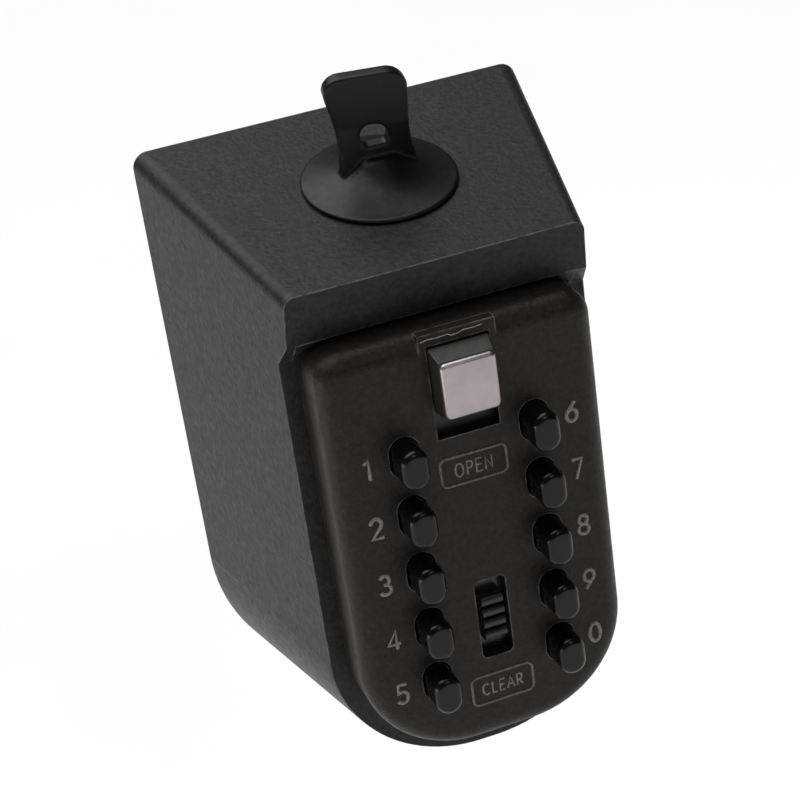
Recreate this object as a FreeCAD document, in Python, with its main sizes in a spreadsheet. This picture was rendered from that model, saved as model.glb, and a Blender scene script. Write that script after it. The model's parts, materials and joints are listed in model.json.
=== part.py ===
import FreeCAD, Part
import os

import Sketcher

# Wall-mounted key lock box. Millimetres; +Z up, +X right seen from the front, front towards -Y.
# The origin is the middle of the wall face. "Depth" is the distance from the wall, so y = -depth.

DIMENSIONS = {
    "wall_width": 75.0, "wall_top": 60.0, "wall_bottom": -60.0,
    "wall_corner": 35.5, "wall_shoulder": 3.0,
    "hood_width": 53.9, "hood_top": 47.9, "nose_bottom": -51.9,
    "nose_corner": 25.4, "nose_shoulder": 2.0,
    "case_depth": 52.2, "lip_depth": 50.4, "lip_height": 38.45, "flange_depth": 46.2,
    "skin": 2.5, "plate_thick": 3.0, "plate_fit": 0.1, "beyond": 1.0,
    "mouth_half": 22.0, "mouth_top": 34.4, "mouth_bottom": -39.5, "mouth_corner": 17.0,
    "mouth_shoulder": 3.0, "cup_wall": 2.2,
    "upper_screw_across": 29.0, "upper_screw_up": 49.0,
    "lower_screw_across": 26.0, "lower_screw_up": -38.0,
    "plate_boss_radius": 3.5, "plate_boss_length": 22.0,
    "plate_screw_radius": 1.5, "plate_screw_head": 2.8, "plate_screw_sunk": 0.1,
    "plate_screw_seat": 1.6, "plate_screw_tip": 18.0, "plate_screw_bore": 20.0, "shank_fit": 0.05,
    "wall_hole_across": 14.0, "wall_hole_up": 24.0, "wall_hole_radius": 2.7,
    "hinge_depth": 50.2, "hinge_up": -41.7, "pin_radius": 1.25, "pin_length": 26.0,
    "pin_fit": 0.02, "pin_running": 0.06, "pin_end_gap": 0.2,
    "eye_radius": 2.6, "barrel_radius": 3.3,
    "lug_inner": 5.0, "lug_outer": 9.0, "lug_gap": 0.3, "web_half": 1.5,
    "rim_depth": 46.6, "face_depth": 57.6, "face_wall": 2.2,
    "door_half": 25.1, "door_gap": 0.5, "door_top": 37.6, "door_bottom": -45.0,
    "door_corner": 19.8, "door_shoulder": 5.0, "door_round": 3.8,
    "pad_half": 7.0, "pad_bottom": 17.0, "window_cut": 3.0,
    "lever_gap_half": 5.7, "lever_gap_bottom": 17.8, "lever_gap_top": 35.4,
    "slider_gap_half": 2.96, "slider_gap_bottom": -27.6, "slider_gap_top": -11.6,
    "slider_gap_corner": 1.0,
    "button_across": 11.95, "first_row": 16.5, "row_pitch": 11.36,
    "button_gap_half": 2.8, "button_gap_tall": 3.9, "cap_half": 2.5, "cap_tall": 3.74,
    "cap_proud": 6.25, "cap_round": 1.3, "collar_half": 3.3, "collar_tall": 4.3,
    "collar_front": 55.1, "collar_back": 53.4, "stem_radius": 1.3, "stem_back": 47.2,
    "house_half": 20.6, "house_top": 32.6, "house_bottom": -36.8, "house_corner": 15.5,
    "house_shoulder": 2.0, "house_wall": 1.2, "guide_front": 48.4, "guide_back": 46.9,
    "house_back": 41.5, "rear_back": 40.0,
    "door_boss_radius": 2.2, "boss_upper_across": 18.2, "boss_upper_up": 28.0,
    "boss_lower_across": 17.9, "boss_lower_up": -23.26,
    "door_screw_radius": 1.05, "door_screw_head": 1.8, "door_screw_tip": 53.0,
    "door_screw_bore": 53.5, "door_screw_cap": 1.1,
    "dial_radius": 3.0, "dial_flange": 3.8, "dial_front": 44.4, "dial_fit": 0.08,
    "dial_proud": 0.2, "dial_lift": 0.15, "dial_slot_half": 0.5, "dial_slot_deep": 0.8,
    "dial_slot_low": 0.3, "dial_slot_high": 0.6,
    "block_half": 5.0, "block_bottom": 23.1, "block_top": 33.5, "block_front": 61.3,
    "face_front": 62.1, "face_corner": 0.8, "face_round": 0.5,
    "lever_plate_half": 7.4, "lever_plate_bottom": 15.5, "lever_plate_top": 35.0,
    "slide_front": 55.1, "slide_back": 53.2,
    "neck_half": 3.0, "neck_bottom": 22.0, "neck_top": 28.0, "neck_clear": 0.4,
    "bolt_half": 7.0, "bolt_bottom": 20.5, "bolt_top": 31.0, "bolt_front": 46.6,
    "bolt_back": 43.4, "bolt_tip": 33.6, "bolt_tip_half": 5.0,
    "bolt_tip_thick": 2.0, "bolt_gap": 0.3,
    "lever_travel": 5.0, "stop_half": 3.0, "stop_front": 52.4,
    "lever_stop_top": 10.0, "lever_stop_bottom": 7.8,
    "knob_half": 2.3, "knob_bottom": -24.2, "knob_top": -15.0, "knob_front": 58.0,
    "rib_rise": 1.0, "rib_gap": 0.35, "clear_plate_back": 53.4, "leg_front": 53.5,
    "clear_plate_half": 4.1, "clear_plate_bottom": -29.5, "clear_plate_top": -9.0,
    "leg_half": 2.6, "leg_bottom": -24.5, "leg_top": -15.0, "leg_back": 48.8,
    "rail_inner": 4.5, "rail_outer": 5.7, "rail_bottom": -33.5, "rail_top": -6.0,
    "rail_front": 55.0, "clear_stop_top": -32.4, "clear_stop_bottom": -34.4,
    "spring_depth": 50.6, "sprung_radius": 1.45, "wire_radius": 0.22, "ring_radius": 1.95,
    "spring_gap": 0.05,
    "cup_depth": 26.6, "cup_radius": 13.95, "cup_rise": 4.2, "cup_rim": 0.7,
    "cup_neck": 4.6, "cup_shoulder": 7.6, "cup_shoulder_rise": 2.52, "cup_tilt": 13.07,
    "cup_gap": 0.1, "tab_half": 7.3, "tab_top": 22.5, "tab_half_thick": 1.4,
    "tab_hole_up": 9.8, "tab_hole_radius": 2.6, "tab_corner": 3.0, "tab_foot_corner": 0.6,
}

LEFT_DIGITS = (1, 2, 3, 4, 5)
RIGHT_DIGITS = (6, 7, 8, 9, 0)
ROWS = len(LEFT_DIGITS)
KNOB_RIBS = 4
FULL_TURN = 360

doc = FreeCAD.newDocument("KeyLockBox")
sheet = doc.addObject("Spreadsheet::Sheet", "Dims")
for row, (alias, size) in enumerate(DIMENSIONS.items(), start=1):
    sheet.set(f"A{row}", alias)
    sheet.set(f"B{row}", str(size))
    sheet.setAlias(f"B{row}", alias)
doc.recompute()

PIECES = []


def dim(alias):
    """The sheet reference that an expression uses for one driving dimension."""
    return f"Dims.{alias}"


def number(expression):
    """The value of an expression written in the sheet's aliases."""
    return float(sheet.evalExpression(expression))


def along(back, front, depth):
    """An expression for a size that changes evenly from the wall to the case's front edge."""
    return f"({back}) + (({front}) - ({back})) * ({depth}) / Dims.case_depth"


def new_body(label):
    """One piece of the lock box: a body whose label is also its file's name."""
    body = doc.addObject("PartDesign::Body", label)
    body.Label = label
    PIECES.append(body)
    return body


def sketch_on(body, role, offset):
    """A sketch parallel to one of the body's origin planes, an offset along that plane's normal."""
    sketch = body.newObject("Sketcher::SketchObject", "Outline")
    plane = next(item for item in body.Origin.OriginFeatures if item.Role == role)
    sketch.AttachmentSupport = [(plane, "")]
    sketch.MapMode = "FlatFace"
    sketch.setExpression("AttachmentOffset.Base.z", offset)
    return sketch


def bind(sketch, kind, geometry, expression):
    """A sized constraint that follows an expression."""
    index = sketch.addConstraint(Sketcher.Constraint(kind, *geometry, number(expression)))
    sketch.setExpression(f"Constraints[{index}]", expression)


def box_outline(left, right, bottom, top):
    """A drawing function for a rectangle between four expressions."""
    def draw(sketch):
        x0, x1, z0, z1 = (number(side) for side in (left, right, bottom, top))
        corners = [FreeCAD.Vector(x, z) for x, z in ((x0, z0), (x1, z0), (x1, z1), (x0, z1))]
        for start in range(4):
            sketch.addGeometry(Part.LineSegment(corners[start], corners[(start + 1) % 4]))
        for start in range(4):
            sketch.addConstraint(Sketcher.Constraint("Coincident", start, 2, (start + 1) % 4, 1))
        for line, direction in ((0, "Horizontal"), (1, "Vertical"), (2, "Horizontal"), (3, "Vertical")):
            sketch.addConstraint(Sketcher.Constraint(direction, line))
        bind(sketch, "DistanceX", (-1, 1, 0, 1), left)
        bind(sketch, "DistanceX", (-1, 1, 1, 1), right)
        bind(sketch, "DistanceY", (-1, 1, 0, 1), bottom)
        bind(sketch, "DistanceY", (-1, 1, 2, 1), top)
    return draw


def round_outline(radius, across="0", up="0"):
    """A drawing function for a circle."""
    def draw(sketch):
        centre = FreeCAD.Vector(number(across), number(up))
        sketch.addGeometry(Part.Circle(centre, FreeCAD.Vector(0, 0, 1), number(radius)))
        bind(sketch, "Radius", (0,), radius)
        bind(sketch, "DistanceX", (-1, 1, 0, 3), across)
        bind(sketch, "DistanceY", (-1, 1, 0, 3), up)
    return draw


def shield_outline(half, bottom, top, low_radius, high_radius, middle="0"):
    """A drawing function for an upright box with one radius on its lower corners and one on its upper."""
    def draw(sketch):
        x, z0, z1, low, high = (number(size) for size in (half, bottom, top, low_radius, high_radius))
        centre = number(middle)
        centres = ((x - low, z0 + low, low, -90), (x - high, z1 - high, high, 0),
                   (-x + high, z1 - high, high, 90), (-x + low, z0 + low, low, 180))
        arcs = []
        for across, up, radius, start in centres:
            circle = Part.Circle(FreeCAD.Vector(centre + across, up), FreeCAD.Vector(0, 0, 1), radius)
            first = FreeCAD.Units.Quantity(start, "deg").getValueAs("rad").Value
            quarter = FreeCAD.Units.Quantity(90, "deg").getValueAs("rad").Value
            arcs.append(Part.ArcOfCircle(circle, first, first + quarter))
        order = []
        for index, arc in enumerate(arcs):
            order.append(sketch.addGeometry(arc))
            following = arcs[(index + 1) % 4]
            order.append(sketch.addGeometry(Part.LineSegment(arc.EndPoint, following.StartPoint)))
        for place, piece in enumerate(order):
            after = order[(place + 1) % len(order)]
            sketch.addConstraint(Sketcher.Constraint("Tangent", piece, 2, after, 1))
        for line, direction in ((1, "Vertical"), (3, "Horizontal"), (5, "Vertical"), (7, "Horizontal")):
            sketch.addConstraint(Sketcher.Constraint(direction, order[line]))
        for arc, radius in ((0, low_radius), (2, high_radius), (4, high_radius), (6, low_radius)):
            bind(sketch, "Radius", (order[arc],), radius)
        bind(sketch, "DistanceX", (-1, 1, order[1], 1), f"({middle}) + ({half})")
        bind(sketch, "DistanceX", (-1, 1, order[5], 1), f"({middle}) - ({half})")
        bind(sketch, "DistanceY", (-1, 1, order[7], 1), bottom)
        bind(sketch, "DistanceY", (-1, 1, order[3], 1), top)
    return draw


def slot_outline(half, tall):
    """A drawing function for an upright obround about the body's own axis."""
    def draw(sketch):
        x, z = number(half), number(tall)
        rise = z - x
        up = FreeCAD.Vector(0, 0, 1)
        turn = FreeCAD.Units.Quantity(180, "deg").getValueAs("rad").Value
        sketch.addGeometry(Part.ArcOfCircle(Part.Circle(FreeCAD.Vector(0, rise), up, x), 0, turn))
        sketch.addGeometry(Part.LineSegment(FreeCAD.Vector(-x, rise), FreeCAD.Vector(-x, -rise)))
        sketch.addGeometry(Part.ArcOfCircle(Part.Circle(FreeCAD.Vector(0, -rise), up, x), turn, 2 * turn))
        sketch.addGeometry(Part.LineSegment(FreeCAD.Vector(x, -rise), FreeCAD.Vector(x, rise)))
        for piece in range(4):
            sketch.addConstraint(Sketcher.Constraint("Tangent", piece, 2, (piece + 1) % 4, 1))
        for arc, height in ((0, f"({tall}) - ({half})"), (2, f"({half}) - ({tall})")):
            bind(sketch, "Radius", (arc,), half)
            bind(sketch, "DistanceX", (-1, 1, arc, 3), "0")
            bind(sketch, "DistanceY", (-1, 1, arc, 3), height)
    return draw


def polygon_outline(points):
    """A drawing function for a closed run of straight edges between points given as expressions."""
    def draw(sketch):
        corners = [FreeCAD.Vector(number(across), number(up)) for across, up in points]
        count = len(corners)
        for start in range(count):
            sketch.addGeometry(Part.LineSegment(corners[start], corners[(start + 1) % count]))
        for start, (across, up) in enumerate(points):
            sketch.addConstraint(Sketcher.Constraint("Coincident", start, 2, (start + 1) % count, 1))
            bind(sketch, "DistanceX", (-1, 1, start, 1), across)
            bind(sketch, "DistanceY", (-1, 1, start, 1), up)
    return draw


def add(body, draw, start, end, role="XZ_Plane"):
    """Material between two offsets from a plane: two depths, or two places across."""
    sketch = sketch_on(body, role, start)
    draw(sketch)
    pad = body.newObject("PartDesign::Pad", "Pad")
    pad.Profile = sketch
    pad.setExpression("Length", f"({end}) - ({start})")
    doc.recompute()
    return pad


def cut(body, draw, start, end, role="XZ_Plane"):
    """Material taken away between two offsets from a plane; it must take some."""
    before = body.Shape.Volume
    sketch = sketch_on(body, role, end)
    draw(sketch)
    pocket = body.newObject("PartDesign::Pocket", "Pocket")
    pocket.Profile = sketch
    pocket.setExpression("Length", f"({end}) - ({start})")
    doc.recompute()
    if body.Shape.Volume >= before:
        raise RuntimeError(f"{body.Label}: a pocket cut nothing")
    return pocket


def loft(body, kind, draw_back, back, draw_front, front):
    """Material, or a hollow, that changes evenly from one outline to another."""
    near = sketch_on(body, "XZ_Plane", back)
    draw_back(near)
    far = sketch_on(body, "XZ_Plane", front)
    draw_front(far)
    feature = body.newObject(kind, "Loft")
    feature.Profile = near
    feature.Sections = [far]
    doc.recompute()
    return feature


def front_edges(feature, depth):
    """The names of the edges that lie in the plane at one depth."""
    names = []
    for index, edge in enumerate(feature.Shape.Edges, start=1):
        ends = [edge.valueAt(edge.FirstParameter), edge.valueAt(edge.LastParameter)]
        if all(abs(point.y + depth) < 1e-4 for point in ends):
            names.append(f"Edge{index}")
    return names


def round_front(body, feature, depth, radius):
    """A rounding on every edge of a feature's front face."""
    fillet = body.newObject("PartDesign::Fillet", "Fillet")
    fillet.Base = (feature, front_edges(feature, number(depth)))
    fillet.setExpression("Radius", radius)
    doc.recompute()
    return fillet


def place(body, across, up):
    """Puts a repeated body at its place on the door."""
    body.setExpression("Placement.Base.x", across)
    body.setExpression("Placement.Base.z", up)


def case_section(depth, inset):
    """The case's outline at a depth, drawn in by an inset."""
    return shield_outline(
        along("Dims.wall_width / 2", "Dims.hood_width / 2", depth) + f" - ({inset})",
        along(dim("wall_bottom"), dim("nose_bottom"), depth) + f" + ({inset})",
        along(dim("wall_top"), dim("hood_top"), depth) + f" - ({inset})",
        along(dim("wall_corner"), dim("nose_corner"), depth) + f" - ({inset})",
        along(dim("wall_shoulder"), dim("nose_shoulder"), depth) + f" - ({inset}) / 2")


def mouth_section(grow):
    """The outline of the key compartment's mouth, grown all round."""
    return shield_outline(f"Dims.mouth_half + ({grow})", f"Dims.mouth_bottom - ({grow})",
                          f"Dims.mouth_top + ({grow})", f"Dims.mouth_corner + ({grow})",
                          f"Dims.mouth_shoulder + ({grow})")


PLATE_SCREWS = [(f"{side} * Dims.{across}", dim(up)) for side in (-1, 1)
                for across, up in (("upper_screw_across", "upper_screw_up"),
                                   ("lower_screw_across", "lower_screw_up"))]
DOOR_SCREWS = [(f"{side} * Dims.{across}", dim(up)) for side in (-1, 1)
               for across, up in (("boss_upper_across", "boss_upper_up"),
                                  ("boss_lower_across", "boss_lower_up"))]


def make_case_shell():
    """The cast case: a tapered skin open at the back, a compartment cup inside it, a hood above the door."""
    body = new_body("case_shell")
    flange_back = "Dims.flange_depth - Dims.skin"
    loft(body, "PartDesign::AdditiveLoft", case_section("0", "0"), "0",
         case_section(dim("case_depth"), "0"), dim("case_depth"))
    past_side = "Dims.wall_width"
    facet_foot = "Dims.lip_height - (Dims.lip_depth - Dims.flange_depth)"
    step = polygon_outline((("-Dims.flange_depth", facet_foot),
                            ("-Dims.flange_depth", "Dims.wall_bottom - Dims.beyond"),
                            ("-Dims.case_depth - Dims.beyond", "Dims.wall_bottom - Dims.beyond"),
                            ("-Dims.case_depth - Dims.beyond", dim("lip_height")),
                            ("-Dims.lip_depth", dim("lip_height"))))
    cut(body, step, f"-{past_side}", past_side, "YZ_Plane")
    door_room = box_outline("-Dims.door_half - Dims.door_gap", "Dims.door_half + Dims.door_gap",
                            facet_foot, dim("lip_height"))
    cut(body, door_room, dim("flange_depth"), "Dims.case_depth + Dims.beyond")
    lean = polygon_outline((("-Dims.lip_depth", dim("lip_height")),
                            ("-Dims.case_depth - Dims.beyond", dim("lip_height")),
                            ("-Dims.case_depth", dim("hood_top"))))
    cut(body, lean, f"-{past_side}", past_side, "YZ_Plane")
    loft(body, "PartDesign::SubtractiveLoft", case_section("0", dim("skin")), "0",
         case_section(flange_back, dim("skin")), flange_back)
    add(body, mouth_section(dim("cup_wall")), dim("plate_thick"), "Dims.flange_depth - Dims.skin / 2")
    cut(body, mouth_section("0"), "0", dim("case_depth"))
    for across, up in PLATE_SCREWS:
        add(body, round_outline(dim("plate_boss_radius"), across, up), dim("plate_thick"),
            "Dims.plate_thick + Dims.plate_boss_length")
        cut(body, round_outline(dim("plate_screw_radius"), across, up), dim("plate_thick"),
            dim("plate_screw_bore"))
    for left, right in (("Dims.lug_inner", "Dims.lug_outer"), ("-Dims.lug_outer", "-Dims.lug_inner")):
        web = box_outline(left, right, "Dims.hinge_up - Dims.web_half", "Dims.hinge_up + Dims.web_half")
        add(body, web, "Dims.flange_depth - Dims.skin / 2", dim("hinge_depth"))
        add(body, round_outline(dim("eye_radius"), "-Dims.hinge_depth", dim("hinge_up")),
            left, right, "YZ_Plane")
    bore = round_outline("Dims.pin_radius + Dims.pin_fit", "-Dims.hinge_depth", dim("hinge_up"))
    cut(body, bore, "-Dims.lug_outer - Dims.beyond", "Dims.lug_outer + Dims.beyond", "YZ_Plane")


def make_back_plate():
    """The flat steel back that closes the case and takes the wall screws."""
    body = new_body("back_plate")
    loft(body, "PartDesign::AdditiveLoft", case_section("0", "Dims.skin + Dims.plate_fit"), "0",
         case_section(dim("plate_thick"), "Dims.skin + Dims.plate_fit"), dim("plate_thick"))
    for across, up in PLATE_SCREWS:
        cut(body, round_outline("Dims.plate_screw_radius + Dims.plate_fit", across, up),
            "0", dim("plate_thick"))
        cut(body, round_outline("Dims.plate_screw_head + Dims.plate_fit", across, up),
            "0", "Dims.plate_screw_seat + Dims.plate_fit")
    for side_across in (-1, 1):
        for side_up in (-1, 1):
            cut(body, round_outline(dim("wall_hole_radius"), f"{side_across} * Dims.wall_hole_across",
                                    f"{side_up} * Dims.wall_hole_up"), "0", dim("plate_thick"))


def make_screws(label, places, head_start, head_end, tip, shank_radius, head_radius):
    """One node of identical screws: a round head and a shank each."""
    solids = []
    for number_in_set, (across, up) in enumerate(places, start=1):
        pieces = []
        for kind, radius, start, length in (
                ("Head", head_radius, head_start, f"({head_end}) - ({head_start})"),
                ("Shank", shank_radius, head_end, f"({tip}) - ({head_end})")):
            cylinder = doc.addObject("Part::Cylinder", f"{label}_{kind}_{number_in_set}")
            cylinder.setExpression("Radius", radius)
            cylinder.setExpression("Height", length)
            cylinder.Placement.Rotation = FreeCAD.Rotation(FreeCAD.Vector(1, 0, 0), 90)
            cylinder.setExpression("Placement.Base.x", across)
            cylinder.setExpression("Placement.Base.y", f"-({start})")
            cylinder.setExpression("Placement.Base.z", up)
            pieces.append(cylinder)
        screw = doc.addObject("Part::MultiFuse", f"{label}_{number_in_set}")
        screw.Shapes = pieces
        solids.append(screw)
    group = doc.addObject("Part::Compound", label)
    group.Links = solids
    group.Label = label
    PIECES.append(group)


def make_hinge_pin():
    """The steel pin that the door swings on."""
    body = new_body("hinge_pin")
    add(body, round_outline(dim("pin_radius"), "-Dims.hinge_depth", dim("hinge_up")),
        "-Dims.pin_length / 2", "Dims.pin_length / 2", "YZ_Plane")


def door_section(inset):
    """The door's outline, drawn in by an inset."""
    return shield_outline(f"Dims.door_half - ({inset})", f"Dims.door_bottom + ({inset})",
                          f"Dims.door_top - ({inset})", f"Dims.door_corner - ({inset})",
                          f"Dims.door_shoulder - ({inset})")


def make_door_cover():
    """The cast door: a dished shell with windows for the buttons, the lever and the clear slider."""
    body = new_body("door_cover")
    plain = add(body, door_section("0"), dim("rim_depth"), dim("face_depth"))
    round_front(body, plain, dim("face_depth"), dim("door_round"))
    inner_face = "Dims.face_depth - Dims.face_wall"
    pad_box = box_outline("-Dims.pad_half", dim("pad_half"), dim("pad_bottom"), dim("door_top"))
    add(body, pad_box, inner_face, dim("face_depth"))
    cut(body, door_section(dim("face_wall")), dim("rim_depth"), inner_face)
    for across, up in DOOR_SCREWS:
        add(body, round_outline(dim("door_boss_radius"), across, up), dim("guide_front"),
            "Dims.face_depth - Dims.face_wall / 2")
        cut(body, round_outline("Dims.door_screw_radius + Dims.shank_fit", across, up),
            dim("guide_front"), dim("door_screw_bore"))
    add(body, round_outline(dim("barrel_radius"), "-Dims.hinge_depth", dim("hinge_up")),
        "-Dims.pin_length / 2", "Dims.pin_length / 2", "YZ_Plane")
    for left, right in (("Dims.lug_inner", "Dims.lug_outer"), ("-Dims.lug_outer", "-Dims.lug_inner")):
        notch = box_outline(f"{left} - Dims.lug_gap", f"{right} + Dims.lug_gap",
                            "Dims.door_bottom - Dims.beyond", "Dims.hinge_up + Dims.barrel_radius")
        cut(body, notch, "Dims.rim_depth - Dims.beyond", "Dims.hinge_depth + Dims.eye_radius + Dims.lug_gap")
    round_bottom_edge(body)
    bore = round_outline("Dims.pin_radius + Dims.pin_running", "-Dims.hinge_depth", dim("hinge_up"))
    cut(body, bore, "-Dims.pin_length / 2 - Dims.pin_end_gap", "Dims.door_half + Dims.beyond", "YZ_Plane")
    lever_gap = box_outline("-Dims.lever_gap_half", dim("lever_gap_half"),
                            dim("lever_gap_bottom"), dim("lever_gap_top"))
    cut(body, lever_gap, "Dims.face_depth - Dims.window_cut", "Dims.face_depth + Dims.beyond")
    slider_gap = shield_outline(dim("slider_gap_half"), dim("slider_gap_bottom"),
                                dim("slider_gap_top"), dim("slider_gap_corner"), dim("slider_gap_corner"))
    gap_corner = "0.996 * Dims.button_gap_half"
    cut(body, slider_gap, "Dims.face_depth - Dims.window_cut", "Dims.face_depth + Dims.beyond")
    for side in (-1, 1):
        for row in range(ROWS):
            across = f"{side} * Dims.button_across"
            up = f"Dims.first_row - {row} * Dims.row_pitch"
            gap = shield_outline(dim("button_gap_half"), f"{up} - Dims.button_gap_tall",
                                 f"{up} + Dims.button_gap_tall", gap_corner, gap_corner, across)
            cut(body, gap, "Dims.face_depth - Dims.window_cut", "Dims.face_depth + Dims.beyond")


def round_bottom_edge(body):
    """Takes off the door's rear bottom edge outside the hinge barrel, so that it clears the flange."""
    before = body.Shape.Volume
    sketch = sketch_on(body, "YZ_Plane", "-Dims.door_half - Dims.beyond")
    depth, up, radius = (number(dim(size)) for size in ("hinge_depth", "hinge_up", "barrel_radius"))
    low, rear = number("Dims.door_bottom - Dims.beyond"), number("Dims.rim_depth - Dims.beyond")
    half_turn = FreeCAD.Units.Quantity(180, "deg").getValueAs("rad").Value
    circle = Part.Circle(FreeCAD.Vector(-depth, up), FreeCAD.Vector(0, 0, 1), radius)
    sketch.addGeometry(Part.ArcOfCircle(circle, 1.5 * half_turn, 2 * half_turn))
    corners = [FreeCAD.Vector(-depth + radius, up), FreeCAD.Vector(-rear, up), FreeCAD.Vector(-rear, low),
               FreeCAD.Vector(-depth, low), FreeCAD.Vector(-depth, up - radius)]
    for start, end in zip(corners, corners[1:]):
        sketch.addGeometry(Part.LineSegment(start, end))
    for piece in range(5):
        sketch.addConstraint(Sketcher.Constraint("Coincident", piece, 2, (piece + 1) % 5, 1))
    for line, direction in ((1, "Horizontal"), (2, "Vertical"), (3, "Horizontal"), (4, "Vertical")):
        sketch.addConstraint(Sketcher.Constraint(direction, line))
    bind(sketch, "Radius", (0,), dim("barrel_radius"))
    bind(sketch, "DistanceX", (-1, 1, 0, 3), "-Dims.hinge_depth")
    bind(sketch, "DistanceY", (-1, 1, 0, 3), dim("hinge_up"))
    bind(sketch, "DistanceX", (-1, 1, 2, 1), "Dims.beyond - Dims.rim_depth")
    bind(sketch, "DistanceY", (-1, 1, 3, 1), "Dims.door_bottom - Dims.beyond")
    pocket = body.newObject("PartDesign::Pocket", "BottomEdge")
    pocket.Profile = sketch
    pocket.Reversed = True
    pocket.setExpression("Length", "2 * (Dims.door_half + Dims.beyond)")
    doc.recompute()
    if body.Shape.Volume >= before:
        raise RuntimeError("door_cover: the bottom edge was not taken off")


def house_section(inset):
    """The mechanism housing's outline, drawn in by an inset."""
    return shield_outline(f"Dims.house_half - ({inset})", f"Dims.house_bottom + ({inset})",
                          f"Dims.house_top - ({inset})", f"Dims.house_corner - ({inset})",
                          f"Dims.house_shoulder - ({inset})")


def make_mechanism_housing():
    """The moulded tray on the door's back: it guides the stems and slides, and its hollow holds the dials."""
    body = new_body("mechanism_housing")
    add(body, house_section("0"), dim("house_back"), dim("guide_front"))
    cut(body, house_section(dim("house_wall")), dim("house_back"), dim("guide_back"))
    for across, up in DOOR_SCREWS:
        add(body, round_outline(dim("door_boss_radius"), across, up), dim("house_back"), dim("guide_front"))
        cut(body, round_outline("Dims.door_screw_radius + Dims.shank_fit", across, up),
            dim("house_back"), dim("guide_front"))
    for side in (-1, 1):
        for row in range(ROWS):
            cut(body, round_outline("Dims.stem_radius + Dims.plate_fit", f"{side} * Dims.button_across",
                                    f"Dims.first_row - {row} * Dims.row_pitch"),
                dim("guide_back"), dim("guide_front"))
    slot = box_outline("-Dims.neck_half - Dims.neck_clear", "Dims.neck_half + Dims.neck_clear",
                       "Dims.neck_bottom - Dims.lever_travel - Dims.neck_clear",
                       "Dims.neck_top + Dims.neck_clear")
    cut(body, slot, dim("guide_back"), dim("guide_front"))
    tip_slot = box_outline("-Dims.bolt_tip_half - Dims.bolt_gap", "Dims.bolt_tip_half + Dims.bolt_gap",
                           "Dims.house_top - Dims.house_wall - Dims.beyond",
                           "Dims.house_top + Dims.beyond")
    cut(body, tip_slot, "Dims.bolt_back - Dims.bolt_gap",
        "Dims.bolt_back + Dims.bolt_tip_thick + Dims.bolt_gap")
    for bottom, top in (("lever_stop_bottom", "lever_stop_top"), ("clear_stop_bottom", "clear_stop_top")):
        stop = box_outline("-Dims.stop_half", dim("stop_half"), dim(bottom), dim(top))
        add(body, stop, dim("guide_back"), dim("stop_front"))
    for left, right in (("Dims.rail_inner", "Dims.rail_outer"), ("-Dims.rail_outer", "-Dims.rail_inner")):
        rail = box_outline(left, right, dim("rail_bottom"), dim("rail_top"))
        add(body, rail, dim("guide_back"), dim("rail_front"))


def make_rear_plate():
    """The plate that closes the housing; each code dial turns in a hole of it."""
    body = new_body("rear_plate")
    add(body, house_section("0"), dim("rear_back"), dim("house_back"))
    for across, up in DOOR_SCREWS:
        cut(body, round_outline("Dims.door_screw_radius + Dims.plate_fit", across, up),
            dim("rear_back"), dim("house_back"))
    for side in (-1, 1):
        for row in range(ROWS):
            cut(body, round_outline("Dims.dial_radius + Dims.dial_fit", f"{side} * Dims.button_across",
                                    f"Dims.first_row - {row} * Dims.row_pitch"),
                dim("rear_back"), dim("house_back"))


def make_button(digit, across, up):
    """One push button: an obround cap, a collar that keeps it in, and a stem."""
    body = new_body(f"button_{digit}")
    cap_front = "Dims.face_depth + Dims.cap_proud"
    cap = add(body, slot_outline(dim("cap_half"), dim("cap_tall")), dim("collar_front"), cap_front)
    round_front(body, cap, cap_front, dim("cap_round"))
    add(body, slot_outline(dim("collar_half"), dim("collar_tall")), dim("collar_back"), dim("collar_front"))
    add(body, round_outline(dim("stem_radius")), dim("stem_back"), dim("collar_back"))
    place(body, across, up)


def make_code_dial(digit, across, up):
    """The dial behind a button: a screwdriver slot in a round face, and a flange that keeps it in."""
    body = new_body(f"code_dial_{digit}")
    shoulder = "Dims.house_back + Dims.dial_lift"
    add(body, round_outline(dim("dial_radius")), "Dims.rear_back - Dims.dial_proud", shoulder)
    add(body, round_outline(dim("dial_flange")), shoulder, dim("dial_front"))
    slot = box_outline("-Dims.dial_slot_half", dim("dial_slot_half"),
                       "Dims.dial_slot_low - Dims.dial_radius", "Dims.dial_radius - Dims.dial_slot_high")
    cut(body, slot, "Dims.rear_back - Dims.beyond", "Dims.rear_back + Dims.dial_slot_deep")
    place(body, across, up)


def make_spring(label, across, depth, up, length, mean_radius, towards_front):
    """The space that a compression spring's coils fill, as a sleeve along the depth or upwards."""
    walls = []
    for kind, radius in (("Outside", f"{mean_radius} + Dims.wire_radius"),
                         ("Inside", f"{mean_radius} - Dims.wire_radius")):
        cylinder = doc.addObject("Part::Cylinder", f"{label}_{kind}")
        cylinder.setExpression("Radius", radius)
        cylinder.setExpression("Height", length)
        walls.append(cylinder)
    spring = doc.addObject("Part::Cut", label)
    spring.Base, spring.Tool = walls
    spring.Label = label
    if towards_front:
        spring.Placement.Rotation = FreeCAD.Rotation(FreeCAD.Vector(1, 0, 0), 90)
    spring.setExpression("Placement.Base.x", across)
    spring.setExpression("Placement.Base.y", f"-({depth})")
    spring.setExpression("Placement.Base.z", up)
    PIECES.append(spring)


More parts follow.
